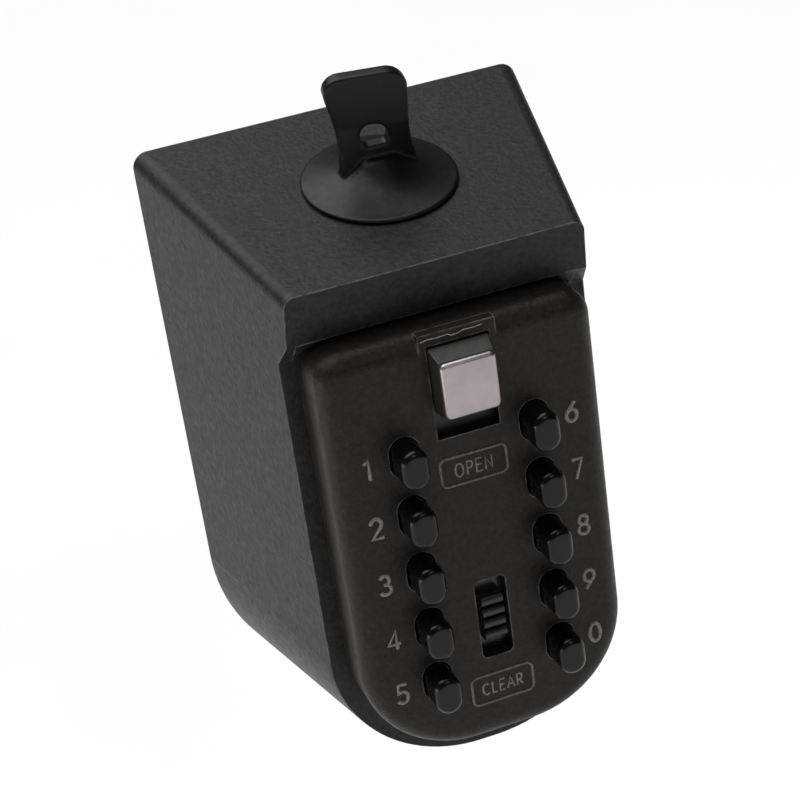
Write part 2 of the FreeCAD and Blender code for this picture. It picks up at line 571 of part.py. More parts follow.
def make_lever():
    """The opening lever: a black block behind the door's window, a bright face on it, and the latch bolt."""
    body = new_body("lever_block")
    plate = box_outline("-Dims.lever_plate_half", dim("lever_plate_half"),
                        dim("lever_plate_bottom"), dim("lever_plate_top"))
    add(body, plate, dim("slide_back"), dim("slide_front"))
    block = box_outline("-Dims.block_half", dim("block_half"), dim("block_bottom"), dim("block_top"))
    add(body, block, dim("slide_front"), dim("block_front"))
    face = new_body("lever_face")
    front = shield_outline(dim("block_half"), dim("block_bottom"), dim("block_top"),
                           dim("face_corner"), dim("face_corner"))
    plain = add(face, front, dim("block_front"), dim("face_front"))
    round_front(face, plain, dim("face_front"), dim("face_round"))
    bolt = new_body("latch_bolt")
    base = box_outline("-Dims.bolt_half", dim("bolt_half"), dim("bolt_bottom"), dim("bolt_top"))
    add(bolt, base, dim("bolt_back"), dim("bolt_front"))
    tip = box_outline("-Dims.bolt_tip_half", dim("bolt_tip_half"), dim("bolt_bottom"), dim("bolt_tip"))
    add(bolt, tip, dim("bolt_back"), "Dims.bolt_back + Dims.bolt_tip_thick")
    neck = box_outline("-Dims.neck_half", dim("neck_half"), dim("neck_bottom"), dim("neck_top"))
    add(bolt, neck, "Dims.bolt_front - Dims.beyond", dim("slide_back"))


def make_clear_slider():
    """The clear slider: a plate behind the window, a leg between the rails, and a thumb knob with ribs."""
    body = new_body("clear_slider")
    plate = box_outline("-Dims.clear_plate_half", dim("clear_plate_half"),
                        dim("clear_plate_bottom"), dim("clear_plate_top"))
    add(body, plate, dim("clear_plate_back"), dim("slide_front"))
    leg = box_outline("-Dims.leg_half", dim("leg_half"), dim("leg_bottom"), dim("leg_top"))
    add(body, leg, dim("leg_back"), dim("leg_front"))
    knob = box_outline("-Dims.knob_half", dim("knob_half"), dim("knob_bottom"), dim("knob_top"))
    add(body, knob, dim("slide_front"), "Dims.knob_front - Dims.rib_rise")
    rib_pitch = f"(Dims.knob_top - Dims.knob_bottom) / {KNOB_RIBS}"
    for rib in range(KNOB_RIBS):
        bottom = f"Dims.knob_bottom + {rib} * {rib_pitch} + Dims.rib_gap"
        top = f"Dims.knob_bottom + {rib + 1} * {rib_pitch} - Dims.rib_gap"
        add(body, box_outline("-Dims.knob_half", dim("knob_half"), bottom, top),
            "Dims.knob_front - Dims.rib_rise", dim("knob_front"))


def make_suction_cup():
    """The rubber suction cup on the sloping top, with an upright pull tab that has a hole in it."""
    body = new_body("suction_cup")
    sketch = sketch_on(body, "XZ_Plane", "0")
    polygon_outline((("0", "0"), (dim("cup_radius"), "0"), (dim("cup_radius"), dim("cup_rim")),
                     (dim("cup_shoulder"), dim("cup_shoulder_rise")), (dim("cup_neck"), dim("cup_rise")),
                     ("0", dim("cup_rise"))))(sketch)
    turn = body.newObject("PartDesign::Revolution", "Cone")
    turn.Profile = sketch
    turn.ReferenceAxis = (sketch, ["V_Axis"])
    turn.Angle = FULL_TURN
    doc.recompute()
    tab = shield_outline(dim("tab_half"), "Dims.cup_rise / 2", dim("tab_top"),
                         dim("tab_foot_corner"), dim("tab_corner"))
    add(body, tab, "-Dims.tab_half_thick", dim("tab_half_thick"))
    cut(body, round_outline(dim("tab_hole_radius"), "0", dim("tab_hole_up")),
        "-Dims.tab_half_thick", dim("tab_half_thick"))
    tilt = FreeCAD.Rotation(FreeCAD.Vector(1, 0, 0), number(dim("cup_tilt")))
    body.Placement = FreeCAD.Placement(FreeCAD.Vector(), tilt)
    top_here = along(dim("wall_top"), dim("hood_top"), dim("cup_depth"))
    body.setExpression("Placement.Base.y", "-Dims.cup_depth")
    body.setExpression("Placement.Base.z", f"{top_here} + Dims.cup_gap")


def make_button_set():
    """Ten buttons in two columns, each with its return spring and its code dial."""
    for side, digits in ((-1, LEFT_DIGITS), (1, RIGHT_DIGITS)):
        for row, digit in enumerate(digits):
            across = f"{side} * Dims.button_across"
            up = f"Dims.first_row - {row} * Dims.row_pitch"
            make_button(digit, across, up)
            make_code_dial(digit, across, up)
            make_spring(f"button_spring_{digit}", across, "Dims.guide_front + Dims.spring_gap", up,
                        "Dims.collar_back - Dims.guide_front - 2 * Dims.spring_gap", dim("ring_radius"), True)


make_case_shell()
make_back_plate()
make_screws("back_plate_screws", PLATE_SCREWS, dim("plate_screw_sunk"), dim("plate_screw_seat"),
            dim("plate_screw_tip"), "Dims.plate_screw_radius - Dims.shank_fit", dim("plate_screw_head"))
make_hinge_pin()
make_door_cover()
make_mechanism_housing()
make_rear_plate()
make_screws("rear_plate_screws", DOOR_SCREWS, "Dims.rear_back - Dims.door_screw_cap", dim("rear_back"),
            dim("door_screw_tip"), dim("door_screw_radius"), dim("door_screw_head"))
make_button_set()
make_lever()
make_spring("lever_spring", "0", dim("spring_depth"), "Dims.lever_stop_top + Dims.spring_gap",
            "Dims.neck_bottom - Dims.lever_stop_top - 2 * Dims.spring_gap", dim("sprung_radius"), False)
make_clear_slider()
make_spring("clear_spring", "0", dim("spring_depth"), "Dims.clear_stop_top + Dims.spring_gap",
            "Dims.leg_bottom - Dims.clear_stop_top - 2 * Dims.spring_gap", dim("sprung_radius"), False)
make_suction_cup()

doc.recompute()
for item in doc.Objects:
    if "Invalid" in item.State or "Error" in item.State:
        raise RuntimeError(f"{item.Label} failed: {item.State}")
os.makedirs("parts", exist_ok=True)
for piece in PIECES:
    if piece.Shape.isNull() or not piece.Shape.isValid():
        raise RuntimeError(f"{piece.Label} has no valid shape")
    piece.Shape.exportStep(f"parts/{piece.Label}.step")
    print(piece.Label, len(piece.Shape.Solids), round(piece.Shape.Volume, 1))
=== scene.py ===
import json
import math

import bmesh
import bpy
from mathutils import Matrix, Vector


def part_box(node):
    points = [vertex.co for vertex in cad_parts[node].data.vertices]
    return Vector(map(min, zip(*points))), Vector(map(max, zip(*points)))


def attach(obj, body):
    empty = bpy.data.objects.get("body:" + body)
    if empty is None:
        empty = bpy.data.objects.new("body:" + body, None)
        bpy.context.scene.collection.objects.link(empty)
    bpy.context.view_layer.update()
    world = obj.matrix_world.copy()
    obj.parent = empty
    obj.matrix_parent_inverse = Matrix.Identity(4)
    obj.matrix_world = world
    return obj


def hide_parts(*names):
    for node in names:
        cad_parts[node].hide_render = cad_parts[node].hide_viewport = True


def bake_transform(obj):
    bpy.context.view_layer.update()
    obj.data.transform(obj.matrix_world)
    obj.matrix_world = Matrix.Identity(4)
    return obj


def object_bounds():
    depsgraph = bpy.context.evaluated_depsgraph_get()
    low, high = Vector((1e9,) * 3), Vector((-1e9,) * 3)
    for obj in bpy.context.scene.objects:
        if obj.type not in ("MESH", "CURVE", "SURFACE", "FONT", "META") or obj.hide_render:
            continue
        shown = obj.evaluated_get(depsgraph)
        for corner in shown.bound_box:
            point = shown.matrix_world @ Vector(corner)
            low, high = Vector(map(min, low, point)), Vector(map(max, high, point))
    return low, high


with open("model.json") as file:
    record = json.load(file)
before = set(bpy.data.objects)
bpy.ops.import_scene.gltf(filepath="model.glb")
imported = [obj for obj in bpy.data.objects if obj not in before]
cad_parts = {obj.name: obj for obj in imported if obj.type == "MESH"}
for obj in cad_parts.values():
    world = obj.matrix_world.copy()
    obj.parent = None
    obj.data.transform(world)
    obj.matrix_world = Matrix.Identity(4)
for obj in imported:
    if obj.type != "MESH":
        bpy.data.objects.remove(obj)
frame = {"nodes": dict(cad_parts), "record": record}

CAD_BOUNDS = [list(corner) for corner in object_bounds()]

LEFT_DIGITS = (1, 2, 3, 4, 5)
RIGHT_DIGITS = (6, 7, 8, 9, 0)
DIGITS = LEFT_DIGITS + RIGHT_DIGITS
FACE_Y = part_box("door_cover")[0][1]
MILLIMETRE = 0.001


def centre(node):
    """The middle of a CAD node's box."""
    low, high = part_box(node)
    return Vector([(a + b) / 2 for a, b in zip(low, high)])


# ---------------------------------------------------------------- camera

def make_camera():
    """A camera at the photograph's viewing angle."""
    place = Vector((-0.1028, -0.3665, 0.1883))
    target = Vector((-0.0020, -0.0261, 0.0109))
    tilt = -0.14706
    forward = (target - place).normalized()
    level = forward.cross(Vector((0, 0, 1))).normalized()
    above = level.cross(forward)
    right = math.cos(tilt) * level + math.sin(tilt) * above
    up = -math.sin(tilt) * level + math.cos(tilt) * above
    data = bpy.data.cameras.new("camera")
    data.lens = 97.3
    data.sensor_width = 36
    data.clip_start = 0.01
    camera = bpy.data.objects.new("camera", data)
    camera.matrix_world = Matrix((
        (right.x, up.x, -forward.x, place.x),
        (right.y, up.y, -forward.y, place.y),
        (right.z, up.z, -forward.z, place.z),
        (0, 0, 0, 1)))
    bpy.context.collection.objects.link(camera)
    bpy.context.scene.camera = camera


# ---------------------------------------------------------------- materials

class Nodes:
    """A small helper that adds and links shader nodes of one material."""

    def __init__(self, name):
        self.material = bpy.data.materials.new(name)
        self.material.use_nodes = True
        self.tree = self.material.node_tree
        self.shader = self.tree.nodes["Principled BSDF"]
        self.coords = self.add("ShaderNodeTexCoord").outputs["Object"]

    def add(self, kind, **inputs):
        node = self.tree.nodes.new(kind)
        for name, value in inputs.items():
            self.set(node.inputs[name.replace("_", " ")], value)
        return node

    def set(self, socket, value):
        if isinstance(value, bpy.types.NodeSocket):
            self.tree.links.new(value, socket)
        else:
            socket.default_value = value

    def noise(self, scale, detail=4.0, roughness=0.55):
        node = self.add("ShaderNodeTexNoise", Scale=scale, Detail=detail, Roughness=roughness)
        self.set(node.inputs["Vector"], self.coords)
        return node.outputs["Fac"]

    def pebbles(self, scale):
        node = self.add("ShaderNodeTexVoronoi", Scale=scale)
        node.feature = "SMOOTH_F1"
        self.set(node.inputs["Vector"], self.coords)
        return node.outputs["Distance"]

    def span(self, value, low, high, start, end):
        node = self.add("ShaderNodeMapRange", Value=value)
        for name, limit in (("From Min", low), ("From Max", high), ("To Min", start), ("To Max", end)):
            node.inputs[name].default_value = limit
        return node.outputs["Result"]

    def math(self, operation, first, second):
        node = self.tree.nodes.new("ShaderNodeMath")
        node.operation = operation
        self.set(node.inputs[0], first)
        self.set(node.inputs[1], second)
        return node.outputs[0]

    def mix(self, factor, first, second):
        node = self.tree.nodes.new("ShaderNodeMix")
        node.data_type = "RGBA"
        self.set(node.inputs["Factor"], factor)
        self.set(node.inputs[6], first)
        self.set(node.inputs[7], second)
        return node.outputs[2]

    def edges(self, radius, low, high):
        """1 on sharp edges, 0 on flat stretches."""
        bevel = self.add("ShaderNodeBevel", Radius=radius)
        bevel.samples = 6
        normal = self.add("ShaderNodeNewGeometry").outputs["Normal"]
        dot = self.tree.nodes.new("ShaderNodeVectorMath")
        dot.operation = "DOT_PRODUCT"
        self.set(dot.inputs[0], bevel.outputs["Normal"])
        self.set(dot.inputs[1], normal)
        return self.span(dot.outputs["Value"], high, low, 0.0, 1.0)

    def bump(self, height, strength, distance, before=None):
        node = self.add("ShaderNodeBump", Strength=strength, Distance=distance, Height=height)
        if before is not None:
            self.set(node.inputs["Normal"], before)
        return node.outputs["Normal"]


def shade(tone, factor=1.0):
    """A colour for a shader socket: a tone made darker or lighter."""
    return (*[part * factor for part in tone], 1)


DUST = (0.16, 0.155, 0.15)
RUBBED_PAINT = (0.40, 0.39, 0.38)


def powder_coat(name, tone, worn):
    """Black powder coat over cast zinc: a fine pebbled skin, dusty speckle, paint rubbed thin on edges."""
    nodes = Nodes(name)
    shader = nodes.shader
    grain = nodes.noise(900.0, 4.0)
    speck = nodes.noise(2600.0, 2.0)
    colour = nodes.mix(nodes.span(grain, 0.35, 0.65, 0.0, 1.0), shade(tone, 0.66), shade(tone, 1.34))
    dust = nodes.span(speck, 0.62, 0.78, 0.0, 0.16)
    colour = nodes.mix(dust, colour, shade(DUST))
    wear = nodes.math("MULTIPLY", nodes.edges(0.0005, 0.80, 0.97),
                      nodes.span(nodes.noise(420.0, 5.0), 0.38, 0.58, 0.1 * worn, worn))
    colour = nodes.mix(wear, colour, shade(RUBBED_PAINT))
    nodes.set(shader.inputs["Base Color"], colour)
    rough = nodes.span(nodes.noise(700.0, 4.0), 0.3, 0.7, 0.40, 0.52)
    nodes.set(shader.inputs["Roughness"], rough)
    shader.inputs["Specular IOR Level"].default_value = 0.20
    pebble = nodes.bump(nodes.pebbles(1500.0), 0.45, 0.00012)
    swell = nodes.bump(nodes.noise(1100.0, 3.0), 0.22, 0.00014, pebble)
    nodes.set(shader.inputs["Normal"], swell)
    return nodes.material


def moulded(name, tone, gloss_low, gloss_high, grain, strength, shine=0.5):
    """Moulded plastic or rubber: a slight colour drift, a painted highlight of lighter colour along its sharp
    edges, uneven gloss and a fine grain.
    """
    nodes = Nodes(name)
    shader = nodes.shader
    drift = nodes.span(nodes.noise(180.0, 3.0), 0.3, 0.7, 0.0, 1.0)
    colour = nodes.mix(drift, shade(tone, 0.85), shade(tone, 1.18))
    # Painted highlight: the sharp rims get a lighter colour that stands in for the light they catch.
    painted_rim_highlight = nodes.span(nodes.edges(0.0003, 0.85, 0.98), 0.0, 1.0, 0.0, 0.35)
    colour = nodes.mix(painted_rim_highlight, colour, shade([part * 2.6 + 0.01 for part in tone]))
    nodes.set(shader.inputs["Base Color"], colour)
    nodes.set(shader.inputs["Roughness"],
              nodes.span(nodes.noise(900.0, 4.0), 0.3, 0.7, gloss_low, gloss_high))
    shader.inputs["Specular IOR Level"].default_value = shine
    nodes.set(shader.inputs["Normal"], nodes.bump(nodes.noise(grain, 3.0), strength, 0.0001))
    return nodes.material


def bare_metal(name, tone, gloss_low, gloss_high, scratch):
    """Plated or cast metal: fine stretched scratches and a cloudy tone and gloss."""
    nodes = Nodes(name)
    shader = nodes.shader
    stretch = nodes.add("ShaderNodeMapping")
    nodes.set(stretch.inputs["Vector"], nodes.coords)
    stretch.inputs["Scale"].default_value = (1.0, 1.0, 0.06)
    lines = nodes.add("ShaderNodeTexNoise", Scale=scratch, Detail=6.0, Roughness=0.7)
    nodes.set(lines.inputs["Vector"], stretch.outputs["Vector"])
    cloud = nodes.noise(240.0, 4.0)
    colour = nodes.mix(nodes.span(cloud, 0.35, 0.7, 0.0, 1.0), shade(tone, 0.82), shade(tone))
    nodes.set(shader.inputs["Base Color"], colour)
    shader.inputs["Metallic"].default_value = 1.0
    nodes.set(shader.inputs["Roughness"], nodes.span(cloud, 0.3, 0.7, gloss_low, gloss_high))
    nodes.set(shader.inputs["Normal"], nodes.bump(lines.outputs["Fac"], 0.12, 0.00005))
    return nodes.material


def worn_paint(name, tone, under):
    """Light paint on raised marks, thin and broken where it has rubbed."""
    nodes = Nodes(name)
    shader = nodes.shader
    broken = nodes.span(nodes.noise(1900.0, 5.0, 0.65), 0.36, 0.56, 0.35, 1.0)
    nodes.set(shader.inputs["Base Color"], nodes.mix(broken, shade(under), shade(tone)))
    nodes.set(shader.inputs["Roughness"], nodes.span(nodes.noise(900.0), 0.3, 0.7, 0.5, 0.7))
    nodes.set(shader.inputs["Normal"], nodes.bump(nodes.noise(2200.0), 0.25, 0.0001))
    return nodes.material


def plain_stage(name, tone):
    """The pale floor, very slightly mottled."""
    nodes = Nodes(name)
    drift = nodes.span(nodes.noise(6.0, 2.0), 0.3, 0.7, 0.0, 1.0)
    nodes.set(nodes.shader.inputs["Base Color"], nodes.mix(drift, shade(tone, 0.985), shade(tone)))
    nodes.shader.inputs["Roughness"].default_value = 0.8
    return nodes.material


CASE_TONE = (0.0178, 0.0171, 0.0172)
DOOR_TONE = (0.0128, 0.0108, 0.0090)
MATERIALS = {
    "case_coating": powder_coat("case_coating_look", CASE_TONE, 0.45),
    "door_coating": powder_coat("door_coating_look", DOOR_TONE, 0.50),
    "plate_steel": powder_coat("plate_steel_look", (0.045, 0.045, 0.046), 0.5),
    "screw_steel": bare_metal("screw_steel_look", (0.56, 0.56, 0.57), 0.28, 0.42, 3000.0),
    "housing_plastic": moulded("housing_plastic_look", (0.035, 0.035, 0.037), 0.45, 0.6, 2500.0, 0.3),
    "rear_zinc": bare_metal("rear_zinc_look", (0.50, 0.50, 0.51), 0.38, 0.52, 1500.0),
    "button_black": moulded("button_black_look", (0.0024, 0.0023, 0.0022), 0.18, 0.30, 1200.0, 0.10, 0.26),
    "spring_steel": bare_metal("spring_steel_look", (0.6, 0.6, 0.6), 0.2, 0.3, 2000.0),
    "dial_brass": bare_metal("dial_look", (0.58, 0.55, 0.48), 0.3, 0.42, 2500.0),
    "lever_black": moulded("lever_black_look", (0.016, 0.015, 0.014), 0.34, 0.48, 2000.0, 0.2, 0.35),
    "lever_chrome": bare_metal("lever_chrome_look", (0.42, 0.375, 0.385), 0.30, 0.42, 900.0),
    "slider_black": moulded("slider_black_look", (0.0060, 0.0058, 0.0060), 0.18, 0.30, 1200.0, 0.1, 0.45),
    "cup_rubber": moulded("cup_rubber_look", (0.0048, 0.0048, 0.0054), 0.34, 0.46, 1600.0, 0.12, 0.24),
}
MARK_PAINT = worn_paint("mark_paint_look", (0.24, 0.235, 0.215), DOOR_TONE)
FRAME_PAINT = worn_paint("frame_paint_look", (0.15, 0.145, 0.135), DOOR_TONE)
FLASH_PAINT = worn_paint("flash_paint_look", (0.42, 0.41, 0.39), (0.08, 0.078, 0.072))


WELD_REACH = 1e-6
EDGE_BREAKS = {"case_shell": 0.0006, "back_plate": 0.0002}
EDGE_SEGMENTS, EDGE_ANGLE = 3, 34


def break_edges(piece, width, segments, sharper_than):
    """A bevel on the edges of a piece that turn by more than an angle in degrees."""
    bevel = piece.modifiers.new("bevel", "BEVEL")
    bevel.width = width
    bevel.segments = segments
    bevel.limit_method = "ANGLE"
    bevel.angle_limit = math.radians(sharper_than)
    return bevel


def dress_cad_nodes():
    """Gives every CAD node its procedural material and breaks the sharp edges of the case and its back."""
    slots = {entry["node"]: entry["material_slot"] for entry in frame["record"]["subparts"]}
    for node, piece in frame["nodes"].items():
        piece.data.materials.clear()
        piece.data.materials.append(MATERIALS[slots[node]])
    for node, width in EDGE_BREAKS.items():
        piece = frame["nodes"][node]
        weld = piece.modifiers.new("weld", "WELD")
        weld.merge_threshold = WELD_REACH
        break_edges(piece, width, EDGE_SEGMENTS, EDGE_ANGLE).harden_normals = True


# ---------------------------------------------------------------- mesh helpers

def new_object(name, data):
    """An object in the scene that holds the given data."""
    item = bpy.data.objects.new(name, data)
    bpy.context.collection.objects.link(item)
    return item


def mesh_from(name, bm):
    """A mesh made from a bmesh, which is freed."""
    mesh = bpy.data.meshes.new(name)
    bm.to_mesh(mesh)
    bm.free()
    return mesh


def link(name, mesh, material, body):
    """Adds a mesh as one piece of the object: its look and the body it rides, if it rides one."""
    piece = new_object(name, mesh)
    piece.data.materials.clear()
    piece.data.materials.append(material)
    if body:
        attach(piece, body)
    return piece


def finished_mesh(source):
    """A plain mesh made from an object with its modifiers applied; the object is removed."""
    bpy.context.view_layer.update()
    evaluated = source.evaluated_get(bpy.context.evaluated_depsgraph_get())
    mesh = bpy.data.meshes.new_from_object(evaluated)
    bpy.data.objects.remove(source)
    return mesh


def smooth(mesh):
    """Marks every face of a mesh smooth."""
    for face in mesh.polygons:
        face.use_smooth = True
    return mesh


def bridge(bm, lower, upper):
    """Faces between two matching rings of vertices."""
    count = len(lower)
    for k in range(count):
        after = (k + 1) % count
        bm.faces.new((lower[k], lower[after], upper[after], upper[k]))


def loft(bm, rings):
    """A closed solid through matching rings of points."""
    layers = [[bm.verts.new(point) for point in ring] for ring in rings]
    for lower, upper in zip(layers, layers[1:]):
        bridge(bm, lower, upper)
    bm.faces.new(layers[0])
    bm.faces.new(list(reversed(layers[-1])))


def bevelled_piece(name, bm, width, look, body, sharper_than=30):
    """Turns a bmesh into one piece whose sharp edges are broken; its look is named after its slot."""
    bmesh.ops.recalc_face_normals(bm, faces=bm.faces)
    source = new_object(name, mesh_from(name, bm))
    break_edges(source, width, 2, sharper_than)
    return link(name, finished_mesh(source), MATERIALS[look], body)


def wire_data(name, radius, resolution):
    """Data for a curve of round section; its splines are added by draw_line."""
    data = bpy.data.curves.new(name, "CURVE")
    data.dimensions = "3D"
    data.bevel_depth = radius
    data.bevel_resolution = resolution
    return data


def draw_line(data, points):
    """One straight-edged spline through points."""
    spline = data.splines.new("POLY")
    spline.points.add(len(points) - 1)
    for point, place in zip(spline.points, points):
        point.co = (*place, 1)
    return spline


# ---------------------------------------------------------------- raised marks on the door

MARK_FLATTEN = 0.75
GLYPH_GAP = 0.17
ARC_STEP = 15

# Plain generic strokes on a grid one unit tall: runs of points, and arcs as (x, z, half width, half height,
# first angle, last angle) in degrees.
GLYPHS = {
    "0": (0.62, [[(0.31, 0.50, 0.27, 0.50, 90, 450)]]),
    "1": (0.40, [[(0.06, 0.80), (0.28, 1.0), (0.28, 0.0)]]),
    "2": (0.62, [[(0.31, 0.70, 0.26, 0.30, 170, -35), (0.05, 0.0), (0.60, 0.0)]]),
    "3": (0.60, [[(0.29, 0.755, 0.22, 0.245, 155, -90), (0.29, 0.26, 0.26, 0.26, 90, -160)]]),
    "4": (0.66, [[(0.62, 0.28), (0.03, 0.28), (0.44, 1.0), (0.44, 0.0)]]),
    "5": (0.60, [[(0.54, 1.0), (0.13, 1.0), (0.08, 0.54), (0.28, 0.31, 0.27, 0.31, 120, -150)]]),
    "6": (0.62, [[(0.52, 0.98), (0.31, 0.30, 0.26, 0.30, 155, 515)]]),
    "7": (0.58, [[(0.04, 1.0), (0.55, 1.0), (0.20, 0.0)]]),
    "8": (0.62, [[(0.31, 0.77, 0.21, 0.23, 90, 450)], [(0.31, 0.27, 0.26, 0.27, 90, 450)]]),
    "9": (0.62, [[(0.10, 0.02), (0.31, 0.70, 0.26, 0.30, -25, 335)]]),
    "O": (0.66, [[(0.33, 0.50, 0.29, 0.50, 90, 450)]]),
    "P": (0.52, [[(0.07, 0.0), (0.07, 1.0), (0.25, 1.0), (0.25, 0.74, 0.23, 0.26, 90, -90), (0.07, 0.48)]]),
    "E": (0.50, [[(0.47, 1.0), (0.07, 1.0), (0.07, 0.0), (0.47, 0.0)], [(0.07, 0.52), (0.42, 0.52)]]),
    "N": (0.62, [[(0.07, 0.0), (0.07, 1.0), (0.55, 0.0), (0.55, 1.0)]]),
    "C": (0.62, [[(0.34, 0.50, 0.29, 0.50, 50, 310)]]),
    "L": (0.46, [[(0.07, 1.0), (0.07, 0.0), (0.44, 0.0)]]),
    "A": (0.62, [[(0.02, 0.0), (0.31, 1.0), (0.60, 0.0)], [(0.12, 0.34), (0.50, 0.34)]]),
    "R": (0.56, [[(0.07, 0.0), (0.07, 1.0), (0.25, 1.0), (0.25, 0.74, 0.23, 0.26, 90, -90), (0.07, 0.48)],
                 [(0.25, 0.48), (0.52, 0.0)]]),
}
def stroke_points(stroke):
    """The points of one pen stroke, its arcs divided evenly."""
    points = []
    for part in stroke:
        if len(part) == 2:
            points.append(part)
            continue
        x, z, half_width, half_height, first, last = part
        steps = max(2, round(abs(last - first) / ARC_STEP))
        for step in range(steps + 1):
            angle = math.radians(first + (last - first) * step / steps)
            points.append((x + half_width * math.cos(angle), z + half_height * math.sin(angle)))
    return points


def raised_text(name, text, height, across, up, line):
    """Raised lettering of round-ended strokes, flattened, centred on the door's face."""
    data = wire_data(name, line, 2)
    data.use_fill_caps = True
    pen = -(sum(GLYPHS[letter][0] for letter in text) + GLYPH_GAP * (len(text) - 1)) / 2
    for letter in text:
        width, strokes = GLYPHS[letter]
        for stroke in strokes:
            draw_line(data, [((pen + x) * height, 0, (z - 0.5) * height) for x, z in stroke_points(stroke)])
        pen += width + GLYPH_GAP
    mesh = smooth(finished_mesh(new_object(name, data)))
    mesh.transform(Matrix.Translation((across, FACE_Y, up)) @ Matrix.Diagonal((1, MARK_FLATTEN, 1, 1)))
    link(name, mesh, MARK_PAINT, "door")


def rounded_loop(half_width, half_height, radius, steps=7):
    """Points round a rectangle with round corners, about the origin."""
    points = []
    for turn, (sx, sz) in enumerate(((1, 1), (-1, 1), (-1, -1), (1, -1))):
        for step in range(steps + 1):
            angle = math.radians(90 * (turn + step / steps))
            points.append((sx * (half_width - radius) + radius * math.cos(angle),
                           sz * (half_height - radius) + radius * math.sin(angle)))
    return points


FRAME_LINE = 0.00024
FRAME_CORNER = 0.0011
FRAME_LIFT = 0.00002


def label_frame(name, up, half_width, half_height):
    """A thin raised line round a label, as a closed rounded rectangle of round section."""
    data = wire_data(name, FRAME_LINE, 3)
    loop = rounded_loop(half_width, half_height, FRAME_CORNER)
    draw_line(data, [(x, FACE_Y - FRAME_LIFT, up + z) for x, z in loop]).use_cyclic_u = True
    link(name, smooth(finished_mesh(new_object(name, data))), FRAME_PAINT, "door")


DIGIT_HEIGHT, DIGIT_LINE = 0.0038, 0.00037
DIGIT_ASIDE, DIGIT_DROP = 0.00685, 0.0004
# Name, word, place up the door, letter height, letter line, and the frame's half width and half height.
LABELS = (
    ("label_open", "OPEN", 0.0112, 0.0025, 0.00019, 0.0061, 0.0027),
    ("label_clear", "CLEAR", -0.0340, 0.0023, 0.00018, 0.0059, 0.0029),
)


def make_marks():
    """The ten digits beside the buttons, and the two labels."""
    for digit in DIGITS:
        button = centre(f"button_{digit}")
        aside = math.copysign(DIGIT_ASIDE, button.x)
        raised_text(f"digit_{digit}", str(digit), DIGIT_HEIGHT, button.x + aside, button.z - DIGIT_DROP,
                    DIGIT_LINE)
    for name, word, up, height, line, half_width, half_height in LABELS:
        raised_text(name, word, height, 0.0, up, line)
        label_frame(f"{name}_frame", up, half_width, half_height)


# ---------------------------------------------------------------- suction cup

# The case's top is WALL_TOP high at the wall and falls by SLOPE_FALL over SLOPE_RUN towards the front.
WALL_TOP, SLOPE_FALL, SLOPE_RUN = 0.0600, 0.0121, 0.0522
CUP_TILT, CUP_LIFT = math.radians(13.07), 0.0001
CUP_RADIUS = 0.01395
CUP_DEPTH = 0.0266
CONE_STEPS = 14
TAB_FOOT, TAB_TOP, TAB_CORNER = 0.0030, 0.0220, 0.0034
TAB_HALF_THICK = 0.00135
HOLE_UP, HOLE_RADIUS = 0.0098, 0.0025
MELT_SIZE, SOFTEN_SHARE, SOFTEN_STEPS = 0.00028, 0.5, 5
TAB_ROOT = 0.004
TAB_LEAN = math.radians(-6)
TAB_TWIST, TWIST_HEIGHT = math.radians(-8), 0.008


def lathe(bm, profile, steps=96):
    """Turns a closed profile of (radius, height) points about Z."""
    rings = []
    for radius, height in profile:
        if radius < 1e-7:
            rings.append([bm.verts.new((0, 0, height))])
        else:
            rings.append([bm.verts.new((radius * math.cos(2 * math.pi * k / steps),
                                        radius * math.sin(2 * math.pi * k / steps), height))
                          for k in range(steps)])
    for lower, upper in zip(rings, rings[1:]):
        for k in range(steps):
            after = (k + 1) % steps
            if len(lower) == 1:
                bm.faces.new((lower[0], upper[k], upper[after]))
            elif len(upper) == 1:
                bm.faces.new((lower[k], upper[0], lower[after]))
            else:
                bm.faces.new((lower[k], upper[k], upper[after], lower[after]))


def cup_profile():
    """The cup's section: a flat foot, a thin rolled rim, and a long concave cone up to the neck."""
    neck, rise, rim_top, rim_inset = 0.0040, 0.0052, 0.00085, 0.0006
    straight, hollow = 0.50, 3.2
    points = [(0.0, 0.0), (CUP_RADIUS - 0.0004, 0.0), (CUP_RADIUS, 0.00022), (CUP_RADIUS, 0.0006),
              (CUP_RADIUS - 0.0003, rim_top)]
    for step in range(1, CONE_STEPS + 1):
        t = step / CONE_STEPS
        r = (CUP_RADIUS - rim_inset) * (1 - t) + neck * t
        points.append((r, rim_top + (rise - rim_top) * (straight * t + (1 - straight) * t ** hollow)))
    points += [(neck * 0.8, rise + 0.0006), (0.0, rise + 0.0007)]
    return points


def tab_half_width(height):
    """The tab's half width: a little flared at its foot, waisted, and wider again at its top."""
    waist, foot_flare, foot_reach = 0.0063, 0.0006, 0.0030
    top_flare, top_middle, top_softness = 0.0011, 0.0150, 0.0020
    foot = foot_flare * math.exp(-((height - TAB_FOOT) / foot_reach) ** 2)
    top = top_flare / (1 + math.exp(-(height - top_middle) / top_softness))
    return waist + foot + top


